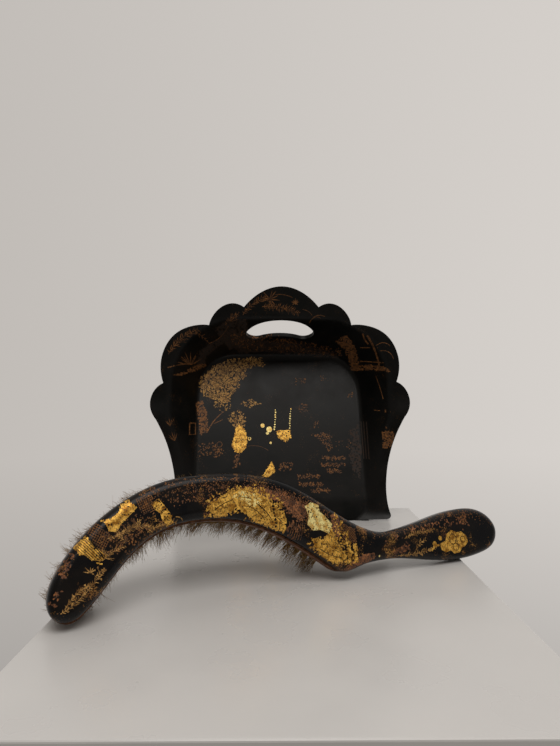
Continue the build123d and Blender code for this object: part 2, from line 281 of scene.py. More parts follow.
board_points = np.array([vertex.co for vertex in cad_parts["bristle_board"].data.vertices])
spread = np.linalg.svd(board_points - board_points.mean(0), full_matrices=False)[2]
face_out = Vector(spread[2])  # a board is thinnest straight through
if face_out.y > 0:
    face_out = -face_out
face_across = Vector((0, 0, 1)).cross(face_out).normalized()
face_up = face_out.cross(face_across)
cover_points = [vertex.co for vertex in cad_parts["brush_back"].data.vertices]
cover_ends = [p.dot(face_across) for p in cover_points]
brush_sheet = {
    "origin": face_across * min(cover_ends)
    + face_up * min(p.dot(face_up) for p in cover_points),
    "across": face_across, "up": face_up, "out": face_out,
    # the design was drawn for a cover 331 mm long
    "stretch": (max(cover_ends) - min(cover_ends)) / (331 * mm),
    "surface": surface_of("brush_back"),
}
print("brush leans", round(math.degrees(math.asin(face_out.z)), 1), "degrees")

# %% [markdown]
# ## Pressing motifs on
# Each motif is a set of flat points and faces. Pressed on, it stands a tenth of a millimetre
# proud, as raised gilding does, with a skirt that runs down into the lacquer so that it has real
# edges. Shapes that miss the surface, past the rim or in the hand-hole, are left off.

# %% Pressing
stand_off = 1.0          # a sheet is held a metre in front of its piece
skirt_depth = 0.1        # millimetres that a motif's edge runs into the lacquer
least_facing = 0.08      # cosine of the steepest surface that still takes leaf
most_stretch = 3.5, 0.4  # times its drawn length, and millimetres over that


def press(name, sheet, motifs, body, finish, lift=0.10):
    """Lays flat motifs on the sheet's surface as one raised piece that rides on a body."""
    times, spare = most_stretch
    raised, sunk, flat, kept = [], [], [], []
    for points, faces in motifs:
        landed = []
        for x, y in points:
            start = sheet["origin"] + sheet["across"] * (x * mm * sheet["stretch"])
            start += sheet["up"] * (y * mm)
            start += sheet["out"] * (stand_off - start.dot(sheet["out"]))
            hit, normal = sheet["surface"].ray_cast(start, -sheet["out"])[:2]
            if hit is None or normal.dot(sheet["out"]) < least_facing:
                landed.append(None)
                continue
            landed.append(len(raised))
            raised.append(hit + normal * (lift * mm))
            sunk.append(hit - normal * (skirt_depth * mm))
            flat.append(Vector((x, y)))
        for face in faces:
            corners = [landed[i] for i in face]
            if None in corners:
                continue
            # a face that lands far more stretched than drawn has fallen over an edge
            pairs = [(a, b) for a in corners for b in corners]
            limits = [((flat[a] - flat[b]).length * times + spare) * mm for a, b in pairs]
            spans = [(raised[a] - raised[b]).length for a, b in pairs]
            if all(span < limit for span, limit in zip(spans, limits)):
                kept.append(corners)
    sides = {}
    for corners in kept:
        for a, b in zip(corners, corners[1:] + corners[:1]):
            if sides.pop((b, a), None) is None:
                sides[(a, b)] = True
    count = len(raised)
    skirts = [[b, a, a + count, b + count] for a, b in sides]
    used = sorted({i for face in kept + skirts for i in face})
    place = {old: new for new, old in enumerate(used)}
    every = raised + sunk
    mesh = bpy.data.meshes.new(name)
    mesh.from_pydata([every[i] for i in used], [],
                     [[place[i] for i in face] for face in kept + skirts])
    mesh.validate()
    mesh.materials.append(finish)
    piece = bpy.data.objects.new(name, mesh)
    bpy.context.scene.collection.objects.link(piece)
    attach(piece, body)
    print(name, "has", len(kept), "gilded faces")
    return piece


# %% [markdown]
# ## A small vocabulary of strokes
# Chinoiserie is built from few brush strokes: a pointed leaf, a drawn line, a fern spray, a
# burst of fronds, stippled foliage, hatching, and patches of leaf. Each is a short function that
# returns flat points and faces. Sizes vary a little at random, from one seed, as a hand varies.

# %% Strokes
def wobble(amount):
    """A random step each way, the tremble of a hand."""
    return random.uniform(-amount, amount)


def leaf(x, y, angle, length, width):
    """A pointed leaf that grows from a point at an angle in degrees."""
    c, s = math.cos(math.radians(angle)), math.sin(math.radians(angle))
    plan = [(0, 0), (0.35, 0.5), (0.7, 0.38), (1, 0), (0.7, -0.38), (0.35, -0.5)]
    spots = [(u * length, v * width) for u, v in plan]
    return [(x + u * c - v * s, y + u * s + v * c) for u, v in spots], [[5, 4, 3, 2, 1, 0]]


def bowed(start, end, bow, steps=8):
    """Points of a line that bows to its left by so many millimetres."""
    (x0, y0), (x1, y1) = start, end
    length = math.hypot(x1 - x0, y1 - y0) or 1
    nx, ny = -(y1 - y0) / length, (x1 - x0) / length
    spots = []
    for i in range(steps + 1):
        t = i / steps
        lift = bow * 4 * t * (1 - t)
        spots.append((x0 + (x1 - x0) * t + nx * lift, y0 + (y1 - y0) * t + ny * lift))
    return spots


def line(spots, width, end_width=None):
    """A drawn line through points, tapering to its end width."""
    end_width = width if end_width is None else end_width
    points, last = [], len(spots) - 1
    for i, (x, y) in enumerate(spots):
        ax, ay = spots[max(i - 1, 0)]
        bx, by = spots[min(i + 1, last)]
        length = math.hypot(bx - ax, by - ay) or 1
        half = (width + (end_width - width) * i / last) / 2
        nx, ny = -(by - ay) / length * half, (bx - ax) / length * half
        points += [(x + nx, y + ny), (x - nx, y - ny)]
    return points, [[2 * i, 2 * i + 1, 2 * i + 3, 2 * i + 2] for i in range(last)]


def spray(start, end, bow, pairs, length, width=0.55, lean=48, sides=(1, -1)):
    """A fern spray: a bowed stem with leaves down both sides."""
    stem = bowed(start, end, bow, pairs)
    made = [line(stem, 0.5, 0.25)]
    for i in range(1, pairs + 1):
        (ax, ay), (bx, by) = stem[i - 1], stem[i]
        heading = math.degrees(math.atan2(by - ay, bx - ax))
        size = length * (0.6 + 0.6 * math.sin(math.pi * i / (pairs + 1)))
        for side in sides:
            x, y = bx + wobble(0.25), by + wobble(0.25)
            angle = heading + side * (lean + wobble(22))
            long, wide = size * random.uniform(0.5, 1.2), width * random.uniform(0.7, 1.3)
            made.append(leaf(x, y, angle, long, wide))
    return made


def burst(x, y, count, length, first, last, width=0.8):
    """Fronds that radiate from a point between two angles."""
    made = []
    for i in range(count):
        angle = first + (last - first) * i / max(count - 1, 1) + wobble(7)
        made.append(leaf(x, y, angle, length * random.uniform(0.7, 1.15), width))
    return made


def inside(outline, x, y):
    """Whether a point lies inside a closed outline."""
    odd = False
    for (ax, ay), (bx, by) in zip(outline, outline[1:] + outline[:1]):
        if (ay > y) != (by > y) and x < (bx - ax) * (y - ay) / (by - ay) + ax:
            odd = not odd
    return odd


def corners_of(outline):
    """Lowest and highest coordinates of an outline."""
    xs, ys = [p[0] for p in outline], [p[1] for p in outline]
    return min(xs), min(ys), max(xs), max(ys)


def stipple(outline, gap, size):
    """Foliage: small marks at every angle, about one in each gap-sized square."""
    x0, y0, x1, y1 = corners_of(outline)
    made = []
    for i in range(int((x1 - x0) * (y1 - y0) / gap ** 2)):
        x, y = random.uniform(x0, x1), random.uniform(y0, y1)
        if inside(outline, x, y):
            length = size * random.uniform(0.6, 1.4)
            made.append(leaf(x, y, random.uniform(0, 360), length, length * 0.55))
    return made


def patch(outline, cell=1.1, keep=0.97):
    """A patch of leaf as one sheet of small cells, ragged where cells have worn off."""
    x0, y0, x1, y1 = corners_of(outline)
    across, high = int((x1 - x0) / cell) + 3, int((y1 - y0) / cell) + 3
    points = []
    for j in range(high + 1):
        for i in range(across + 1):
            points.append((x0 + (i - 1 + wobble(0.32)) * cell, y0 + (j - 1 + wobble(0.32)) * cell))
    faces = []
    for j in range(high):
        for i in range(across):
            middle = (x0 + (i - 0.5) * cell, y0 + (j - 0.5) * cell)
            if inside(outline, *middle) and random.random() < keep:
                first = j * (across + 1) + i
                faces.append([first + across + 1, first + across + 2, first + 1, first])
    return [(points, faces)]


def edged(outline, width=0.45, cell=0.9, keep=0.97):
    """A patch of leaf with its outline drawn round it."""
    return patch(outline, cell, keep) + [line(outline + outline[:1], width)]


def hatch(outline, gap, angle, width):
    """Parallel lines ruled across an outline."""
    x0, y0, x1, y1 = corners_of(outline)
    cx, cy, reach = (x0 + x1) / 2, (y0 + y1) / 2, math.hypot(x1 - x0, y1 - y0) / 2
    c, s = math.cos(math.radians(angle)), math.sin(math.radians(angle))
    made = []
    for k in range(-int(reach / gap), int(reach / gap) + 1):
        run = []
        for t in range(-int(reach / 0.8), int(reach / 0.8) + 1):
            x, y = cx + c * t * 0.8 - s * k * gap, cy + s * t * 0.8 + c * k * gap
            if inside(outline, x, y):
                run.append((x, y + wobble(0.06)))
            elif len(run) > 1:
                made.append(line(run, width))
                run = []
            else:
                run = []
        if len(run) > 1:
            made.append(line(run, width))
    return made


def disc(x, y, radius, sides=10):
    """A round dab."""
    rim = [(x + radius * math.cos(2 * math.pi * i / sides),
            y + radius * math.sin(2 * math.pi * i / sides)) for i in range(sides)]
    return rim, [list(range(sides - 1, -1, -1))]


def ring(x, y, radius, width, sides=18):
    """A drawn circle."""
    rim = [(x + radius * math.cos(2 * math.pi * i / sides),
            y + radius * math.sin(2 * math.pi * i / sides)) for i in range(sides + 1)]
    return line(rim, width)


def dots(start, end, count, radius):
    """A row of small dabs."""
    (x0, y0), (x1, y1) = start, end
    steps = max(count - 1, 1)
    return [disc(x0 + (x1 - x0) * i / steps + wobble(0.3), y0 + (y1 - y0) * i / steps,
                 radius * random.uniform(0.7, 1.2), 7) for i in range(count)]


print("a leaf has", len(leaf(0, 0, 0, 4, 1)[0]), "points")

# %% [markdown]
# ## The pan's flange and walls
# Thin bronze plants fill each lobe of the flange: palms in the crown, ferns in the shoulders.
# The walls carry worn ground, a garden wall and posts, now darkened almost into the lacquer.
# A painter would load one brush and go round the rim, so each motif is one group of strokes.

# %% Flange and walls
def moved(outline, x, y):
    """An outline shifted on its sheet."""
    return [(px + x, py + y) for px, py in outline]


flange_plants = (
    spray((-36, 196), (-12, 211), 3.5, 16, 4.2)
    + burst(-11, 210, 11, 8.5, -95, 190)
    + spray((-18, 203.5), (16, 197.5), 2.2, 22, 4.2, lean=65)
    + burst(13, 207.4, 8, 3.6, 0, 315)
    + [line(bowed((-6, 214), (10, 211.5), 1.2), 0.4), line(bowed((20, 201), (29, 196), 1), 0.4)]
    + spray((-53, 188), (-41, 196.5), 1.2, 9, 3.2)
    + burst(-46, 191, 8, 6, 10, 170)
    + [line(bowed((27, 189.5), (41, 195), 3.4), 0.8, 0.4)]
    + [line(bowed((28, 191), (37, 193.5), 2.2), 0.6, 0.3)]
    + spray((-106, 160), (-80, 183.5), 3.0, 17, 5.6)
    + burst(-88, 150.5, 9, 13, 38, 165, 0.9)
    + [line(bowed((-107, 147.5), (-84, 152), 1.0), 1.2, 0.5)]
    + [line(bowed((-70, 172), (-50, 187), -2), 0.6, 0.4)]
    + spray((-84, 182), (-70, 172), 1.5, 6, 3)
)
garden_wall = (
    [line([(80, 167.2), (94, 166)], 0.9), line([(82, 154), (100, 151.6)], 0.9)]
    + [line(bowed((84, 178), (97, 149), 1.4), 1.5, 1.0)]
    + [line(bowed((92, 168), (104, 168), 2.6), 0.6), line(bowed((96, 163), (108, 155), 3), 0.6)]
    + [line(bowed((80, 180), (86, 170), -0.6), 1.1)]
    + patch([(57, 174), (61, 178), (66, 179), (72, 174), (77, 166), (81, 153), (82, 145), (76, 145),
             (72, 157), (66, 167), (61, 171)], 1.1, 0.86)
    + patch([(76, 151), (90, 150), (101, 148), (107, 141.5), (101, 143.5), (86, 145), (76, 145)],
            1.1, 0.86)
    + [line([(95, 139), (98, 129), (101, 116)], 0.5), line([(93, 105), (106, 104)], 0.5)]
    + [line([(102.2, 106), (102, 88)], 1.0)]
    + patch([(98.5, 84), (106, 87), (109, 82), (106, 70), (99, 69)], 1.1, 0.8)
    + patch([(-103, 140), (-94, 144), (-77, 154), (-74, 151), (-84, 145), (-97, 140)], 1.1, 0.85)
    + stipple([(-52, 180), (-30, 183), (10, 176), (60, 168), (66, 160), (10, 164), (-40, 168)],
              1.7, 1.7)
    + [line([(-89, 93.5), (-84, 93), (-83.8, 82), (-88.9, 82.6), (-89, 93.5)], 1.0)]
    + burst(-105, 92, 5, 8, 60, 130, 0.5) + burst(-101, 78, 5, 9, 70, 140, 0.5)
)
worn_ground = (
    patch([(-82, 152), (-79, 165), (-66, 174), (-50, 181), (-50, 176), (-62, 169), (-73, 160),
           (-76, 151)], 1.2, 0.9)
    + patch([(-64, 184), (-53, 191), (-34, 193), (-31, 188), (-34, 180), (-36, 170), (-50, 166),
             (-56, 174)], 1.2, 0.82)
    + patch([(-54, 176), (-34, 180), (-17, 175.5), (6, 173), (22, 171.5), (43, 167), (66, 162),
             (66, 158), (22, 161), (-17, 165), (-40, 163)], 1.3, 0.7)
    + [line([(x, 93), (x + 0.3, 57)], 0.8) for x in (82.4, 84.6, 86.8)]
)
press("pan_flange_plants", pan_sheet, flange_plants, "pan", bronze_powder)
press("pan_garden_wall", pan_sheet, garden_wall, "pan", bronze_powder)
press("pan_worn_ground", pan_sheet, worn_ground, "pan", old_bronze)

# %% [markdown]
# ## The pan's floor
# A stippled tree leans in from the upper left over a garden; bright leaf marks the robes and
# blossoms below it, and rows of dashes are water. The figures are only robe-shaped patches.

# %% Floor garden
tree_top = [(-79, 138), (-72, 146), (-66, 151), (-57, 154), (-48, 158), (-40, 157), (-29, 160),
            (-17, 158), (-15, 150), (-22, 151), (-29.5, 148.5), (-36, 147), (-33, 140), (-40, 136),
            (-42, 128), (-45, 125), (-50, 117), (-53, 112), (-62, 115), (-70, 117), (-78, 122),
            (-82, 130)]
foliage = (
    stipple(tree_top, 1.05, 1.7)
    + stipple([(-52, 97), (-47, 104), (-41, 105), (-34, 98), (-36, 88), (-44, 86)], 1.25, 1.6)
    + stipple([(-66, 118), (-50, 116), (-48, 108), (-58, 104), (-66, 108)], 1.5, 1.5)
    + stipple([(-40, 112), (-28, 115.5), (-18, 111.5), (-30, 107.5)], 1.35, 1.5)
)
far_foliage = (
    stipple(moved([(-4, -3), (8, -2), (9, 3), (-2, 3)], 20, 134), 1.4, 1.4)
    + stipple(moved([(-6, -2), (10, -2), (8, 3), (-4, 3)], 47, 136), 2.2, 1.2)
    + stipple(moved([(-5, -4), (5, -4), (5, 5), (-5, 4)], 24, 107), 1.6, 1.4)
    + stipple(moved([(-2, -3), (3, -4), (4, 4), (-2, 3)], 36, 91), 1.9, 1.2)
    + stipple(moved([(-3, -3), (3, -3), (3, 4), (-3, 4)], 74, 119), 1.7, 1.3)
    + stipple([(31, 81), (51, 82), (52, 67), (47, 63), (43, 73)], 1.25, 1.4)
    + stipple([(55, 75), (72, 76), (70, 66), (56, 66)], 2.6, 1.2)
    + stipple([(-2, 54), (13, 55), (11.5, 47.5), (-1, 46)], 1.45, 1.5)
)
for low, first, last in ((58, 41, 64), (51.5, 40, 63), (46, 44, 60), (41, 17, 38), (34, 17, 41),
                         (28, 29, 48)):
    far_foliage += stipple([(first, low - 1.6), (last, low - 1.6), (last, low + 1.3),
                            (first, low + 1.3)], 1.0, 1.5)
trunk = (
    patch([(-84, 113), (-78, 115), (-73, 104), (-71.5, 84), (-79, 81), (-82, 96)], 1.1, 0.75)
    + [line(bowed((-72, 85), (-56, 104), 1.5), 1.2, 0.6), line([(-66, 92), (-57, 96)], 0.6)]
    + stipple([(-82, 72), (-66, 74), (-52, 66), (-60, 60), (-80, 62)], 1.9, 1.7)
    + patch([(-44.5, 62), (-40.5, 62), (-39.5, 53), (-47, 48)], 1.1, 0.55)
    + [line(bowed((-79, 44), (-66, 44), -0.8), 0.7), line(bowed((-32, 70), (-12, 66), 2), 0.3)]
    + [ring(-60, 72, 2.6, 0.5)]
)
robes = (
    patch([(-44, 87), (-41, 91), (-37, 89), (-34, 84), (-32.5, 75), (-34, 68), (-40, 63), (-45, 65),
           (-48, 71), (-45.5, 80)], 0.9, 0.96)
    + patch([(-18, 42), (-13, 49.5), (-8.5, 55.5), (-6.5, 51), (-5.5, 46), (-10, 42), (-15, 40)],
            0.9, 0.95)
    + patch([(-4, 84.5), (2, 85.5), (9.8, 85.5), (11.6, 78), (5.5, 73.5), (-1.5, 77.6)], 0.9, 0.9)
)
blossoms = (
    [disc(-17.2, 89.8, 2.1), disc(-10.6, 86, 2.9), disc(-12.5, 82.4, 1.5), disc(-9.4, 73, 1.2)]
    + [ring(-30.4, 77.2, 1.3, 0.8, 10)]
    + dots((-5.4, 86), (-3.9, 105), 9, 0.75) + dots((10, 87), (11.4, 106), 9, 0.75)
)
rust = patch([(70, 84), (80, 90), (80.5, 62), (78, 38), (71, 46), (68, 60), (72, 72)], 1.3, 0.7)
press("pan_foliage", pan_sheet, foliage, "pan", gold_powder)
press("pan_far_foliage", pan_sheet, far_foliage, "pan", bronze_powder)
press("pan_trunk", pan_sheet, trunk, "pan", bronze_powder)
press("pan_robes", pan_sheet, robes, "pan", gold_leaf, 0.14)
press("pan_blossoms", pan_sheet, blossoms, "pan", pale_leaf, 0.14)
press("pan_rust", pan_sheet, rust, "pan", old_bronze)

# %% [markdown]
# ## The brush's face
# The stock carries the busiest work: leaf robes and a fan, copper ground, hatched roofs and
# sprays that follow the crescent, and a blossom on the paddle. It is laid in the gilder's order,
# leaf first. The leaf shapes are closed outlines, kept as plain lists so that each can be moved.

# %% Outlines for leaf
fan = [(14.5, 41.5), (21.3, 47), (26, 40.5), (31.6, 34.5), (29.6, 32.6), (23.5, 34), (19.5, 37.5),
       (17.5, 37)]
bone = [(30, 54.5), (36, 55), (40, 57.5), (42.5, 64), (46, 65), (50.5, 59.5), (47, 56.5),
        (41, 51.5), (38, 47.5), (34, 48), (33, 51.5)]
folds = [(59.5, 61), (64, 63.5), (66.5, 60), (70.5, 54.5), (72.5, 49), (69, 47.5), (66, 50),
         (64.5, 55), (61, 58)]
bright = [(95, 55), (99, 59), (105, 61.5), (113, 64.5), (121, 65.5), (129, 62.5), (132, 58.5),
          (126, 55), (119, 55), (113, 53), (108, 50.5), (104.5, 45.5), (100, 48.5)]
sleeve = [(114, 57), (122, 61), (130, 61), (137, 56.5), (142, 50), (143, 34.5), (138.5, 35),
          (131, 40.5), (123, 46.5), (117, 51)]
stripe = [(142.5, 48), (147, 48.5), (148, 41), (146.5, 34.5), (143.6, 36.5)]
pale_robe = [(163.5, 49.5), (168, 51.5), (173.5, 49.5), (174, 45), (177, 42), (182, 36),
             (178.5, 30.5), (173, 33.5), (167, 33.8), (163.5, 38), (165.5, 43)]
skirt = [(164.5, 29), (168.5, 28.5), (173, 27), (178, 29), (181.5, 34.5), (183.5, 26), (187, 19),
         (189.5, 12.5), (183, 11.8), (176.5, 13.5), (171, 18), (167.5, 23.5)]
left_bar = [(190, 10.5), (192.5, 22), (194.5, 22.5), (193, 10)]
right_bar = [(195.2, 10), (196.4, 22), (199.4, 21.6), (198, 9.6)]
plum = [(276.7, 14), (279, 18.5), (284, 20.8), (288.5, 18.5), (292.8, 18.8), (296.8, 15.2),
        (297.2, 11), (293, 8.4), (290.5, 8), (287.5, 5), (282.5, 4.8), (279.6, 7.5), (275, 6.5),
        (271.5, 8.5), (271, 12.5)]
print("the fan has", len(fan), "corners, the blossom", len(plum))

# %% Leaf
leaf_work = (edged(fan) + edged(bone) + edged(folds, 0.3, 0.8, 0.8)
             + patch(bright, 0.7, 0.84) + patch(sleeve, 0.7, 0.86) + edged(stripe, 0.3, 0.8, 0.9)
             + patch(skirt, 0.7, 0.88) + patch(left_bar, 0.8, 0.8) + patch(right_bar, 0.8, 0.9)
             + edged(plum, 0.5, 0.8, 0.98)
             + stipple([(92, 50), (96, 61), (112, 67), (132, 66), (146, 56), (146, 34), (134, 38),
                        (116, 50)], 1.2, 1.5)
             + stipple([(160, 26), (178, 30), (186, 44), (194, 30), (196, 8), (176, 11)], 1.5, 1.5)
             + patch([(25.5, 32), (28.5, 30.5), (33.5, 33.4), (30, 31.5)], 0.8, 0.9)
             + [disc(266, 13.3, 1.9), disc(272, 16.6, 1.7)]
             + [line(bowed((262, 9), (270, 12), 1), 1.4)])
print("leaf in", len(leaf_work), "strokes")

# %% [markdown]
# ## Powder on the brush
# Powder is shaken from a pounce bag onto size drawn with a fine brush. Gold powder makes the
# ferns, copper the warm ground between the robes, and a haze of bronze dust lies over the back of
# the crescent. Textures could give the haze, but separate grains keep their sparkle from any side.

# %% Ferns
tips = (spray((6.8, 8.6), (29, 27.5), -2.2, 26, 2.6, 0.42)
        + spray((9, 10.5), (22, 21), 1.2, 16, 2.0, 0.36)
        + stipple([(8, 8), (12, 16), (28, 31), (32, 27), (20, 16)], 1.9, 1.2)
        + burst(30.5, 34, 9, 6.0, -20, 95, 0.5)
        + spray((29.5, 32.5), (42, 38.5), 1, 12, 2.4, 0.45)
        + spray((33, 44), (52, 52), -1.6, 17, 2.6, 0.5)
        + spray((42, 47), (60, 47), 2.0, 15, 2.4, 0.5)
        + spray((45, 41), (38, 47), 1, 5, 2.6, 0.6) + spray((56, 45), (74, 49), 1.2, 10, 2.6, 0.7)
        + burst(23, 27, 5, 4, 30, 160, 0.6)
        + spray((240, 20), (266, 22.5), 1.4, 15, 2.2, 0.6)
        + spray((233, 9.5), (266, 11.4), -1.6, 17, 2.6, 0.7)
        + spray((248, 11), (258, 17), 1.2, 6, 2.4, 0.6)
        + [line(bowed((126, 49.5), (134, 47), -2.5), 0.5), line(bowed((74, 52), (79, 46), 2), 0.5)]
        + [line([(181.8, 33), (183, 25), (184.4, 18)], 0.9)])
print("ferns in", len(tips), "strokes")

# %% Copper ground
copper = (patch([(121, 65), (134, 64.5), (146, 60.5), (156, 55), (165, 49.5), (162, 42),
                 (155, 43.5), (150, 50), (145.5, 54.5), (130, 58.5)], 0.7, 0.86)
          + stipple([(112, 66), (134, 66), (148, 62), (168, 50), (160, 40), (148, 48), (140, 56)],
                    1.0, 1.2)
          + patch([(182, 43), (188.5, 41), (189, 33), (185.8, 27), (182, 32)], 1.1, 0.85)
          + patch([(185.5, 5.6), (195, 12), (203, 13.6), (212, 14), (213.6, 11), (206, 7.4),
                   (196, 5)], 1.0, 0.88)
          + stipple([(10, 38), (16, 40), (14, 33), (9.5, 27), (5.5, 25.5), (6, 31)], 1.2, 1.8)
          + stipple([(2, 17), (6, 22), (8, 18), (5, 12.5), (2, 12.5)], 1.4, 1.8)
          + stipple([(146, 38), (158, 44), (161, 37), (154, 29), (148, 30)], 1.5, 1.6)
          + stipple([(72, 56), (90, 60), (96, 66), (118, 66), (100, 70), (76, 66)], 2.4, 1.3)
          + stipple([(218, 21), (246, 26), (280, 30), (306, 29), (300, 24), (270, 25), (236, 20)],
                    2.3, 1.8)
          + stipple([(224, 12), (242, 17), (244, 13), (230, 10)], 1.2, 1.8)
          + stipple([(288, 28), (300, 30), (304, 24), (296, 20)], 1.6, 1.8)
          + stipple([(154, 28), (172, 16), (170, 14), (152, 26)], 1.5, 1.5)
          + patch([(231, 12), (238, 15.5), (240, 12), (234, 10.5)], 1.0, 0.6))
print("copper in", len(copper), "strokes")

# %% Bronze dust and lattice
fine_dust = (stipple([(52, 68), (76, 75), (100, 75), (124, 72), (148, 64), (170, 52), (190, 40),
                      (186, 34), (160, 50), (146, 57), (120, 62), (98, 60), (76, 60), (56, 60)],
                     1.35, 0.9)
             + stipple([(186, 44), (214, 30), (250, 31), (288, 37), (310, 32), (318, 20), (306, 26),
                        (286, 31), (250, 25), (214, 24), (190, 34)], 1.9, 1.1)
             + stipple([(30, 36), (46, 46), (70, 52), (74, 46), (60, 40), (44, 34)], 1.6, 1.3)
             + stipple([(28, 45), (34, 50), (50, 56), (60, 55), (58, 46), (40, 40)], 1.6, 1.2)
             + stipple([(98, 60), (120, 66), (134, 62), (128, 56), (104, 52)], 1.3, 1.2)
             + hatch([(21.5, 49), (27.5, 54.5), (36, 44), (29, 36)], 1.35, 60, 0.28)
             + hatch([(21.5, 49), (27.5, 54.5), (36, 44), (29, 36)], 1.35, -35, 0.28)
             + hatch([(50, 64.5), (60, 66.5), (62, 57), (54, 55)], 1.3, 20, 0.3)
             + hatch([(50, 64.5), (60, 66.5), (62, 57), (54, 55)], 1.3, -70, 0.3)
             + hatch([(187, 38), (200, 31), (200, 22), (189, 22)], 1.3, 35, 0.3)
             + hatch([(187, 38), (200, 31), (200, 22), (189, 22)], 1.3, -50, 0.3)
             + hatch([(150, 42), (162, 38), (158, 28), (149, 30)], 1.6, 75, 0.35))
print("dust in", len(fine_dust), "strokes")

# %% Pale leaf, and all of it pressed on
pale_work = (edged(pale_robe, 0.4, 0.8, 0.96)
             + patch([(111, 60), (118, 64), (128, 61), (133, 55), (126, 52), (120, 57)], 0.7, 0.5))
pale_work += [disc(216.4, 11.2, 0.7, 7), disc(78, 47, 1.0), disc(96, 59, 0.8)]
press("brush_leaf_work", brush_sheet, leaf_work, "brush", gold_leaf, 0.13)
press("brush_pale_work", brush_sheet, pale_work, "brush", pale_leaf, 0.14)
press("brush_sprays", brush_sheet, tips, "brush", gold_powder)
press("brush_copper_work", brush_sheet, copper, "brush", copper_powder)
press("brush_fine_dust", brush_sheet, fine_dust, "brush", bronze_powder)

# %% [markdown]
# ## Lines over the leaf
# Folds, ribs and petals are drawn last, in black over the gold. Scratching through the leaf would
# show the same lines; drawing them is simpler, and they catch the light as lacquer does.

# %% Folds, ribs and petals
fold_lines = (hatch(fan, 1.15, -47, 0.3)
              + [line(bowed((22.6, 44.8), (30.6, 33.6), 0.4), 0.5)]
              + [line(bowed((128, 55), (139, 40), 1.5), 0.5)]
              + [line(bowed((122, 54), (133, 44), 1), 0.4)]
              + dots((139.5, 52), (141, 35), 9, 0.8)
              + [line(bowed((100, 54), (112, 58.5), 0.6), 0.4)]
              + [line(bowed((114, 60), (125, 58), 0.6), 0.4)]
              + [ring(283.5, 14.6, 3.4, 0.4), ring(293, 13.4, 2.2, 0.4), ring(285, 9, 2.6, 0.35)]
              + [line(bowed((170, 22), (186, 14), -1.2), 0.4)]
              + [line(bowed((176, 26), (184, 18), -1), 0.4)])
press("brush_fold_lines", brush_sheet, fold_lines, "brush", brush_lacquer, 0.2)

# %% [markdown]
# ## Bristles
# The tufts of the frame are plain plugs. Real ones are bundles of fibre, splayed and bent by
# use. A hair system would not reach an exported mesh, so each strand is built as a thin tapered
# tube with three sides. Where a tuft starts, points and ends is read off its own solid. Strands
# are about a quarter of a millimetre thick, a little coarser than the fibre, so that they show.

# %% Read the tufts
weld, root_depth, end_depth = 0.002 * mm, 0.3 * mm, 0.6 * mm


def islands(mesh):
    """Groups of points that belong to one solid."""
    spot_of = {}
    first = list(range(len(mesh.vertices)))

    def root(i):
        while first[i] != i:
            first[i] = first[first[i]]
            i = first[i]
        return i

    for i, vertex in enumerate(mesh.vertices):
        key = tuple(round(c / weld) for c in vertex.co)
        if key in spot_of:
            first[root(i)] = root(spot_of[key])
        else:
            spot_of[key] = i
    for a, b in (edge.vertices for edge in mesh.edges):
        first[root(a)] = root(b)
    groups = {}
    for i in range(len(first)):
        groups.setdefault(root(i), []).append(np.array(mesh.vertices[i].co))
    return [np.array(group) for group in groups.values()]


out = np.array(face_out)
board_back = (board_points @ out).min()
tufts = []
for name, part in sorted(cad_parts.items()):
    if name.startswith("tuft_row"):
        for group in islands(part.data):
            depth = group @ out
            top = group[depth > depth.max() - root_depth].mean(0)
            end = group[depth < depth.min() + end_depth].mean(0)
            tufts.append((int(name[-1]), top, end))
print("read", len(tufts), "tufts")

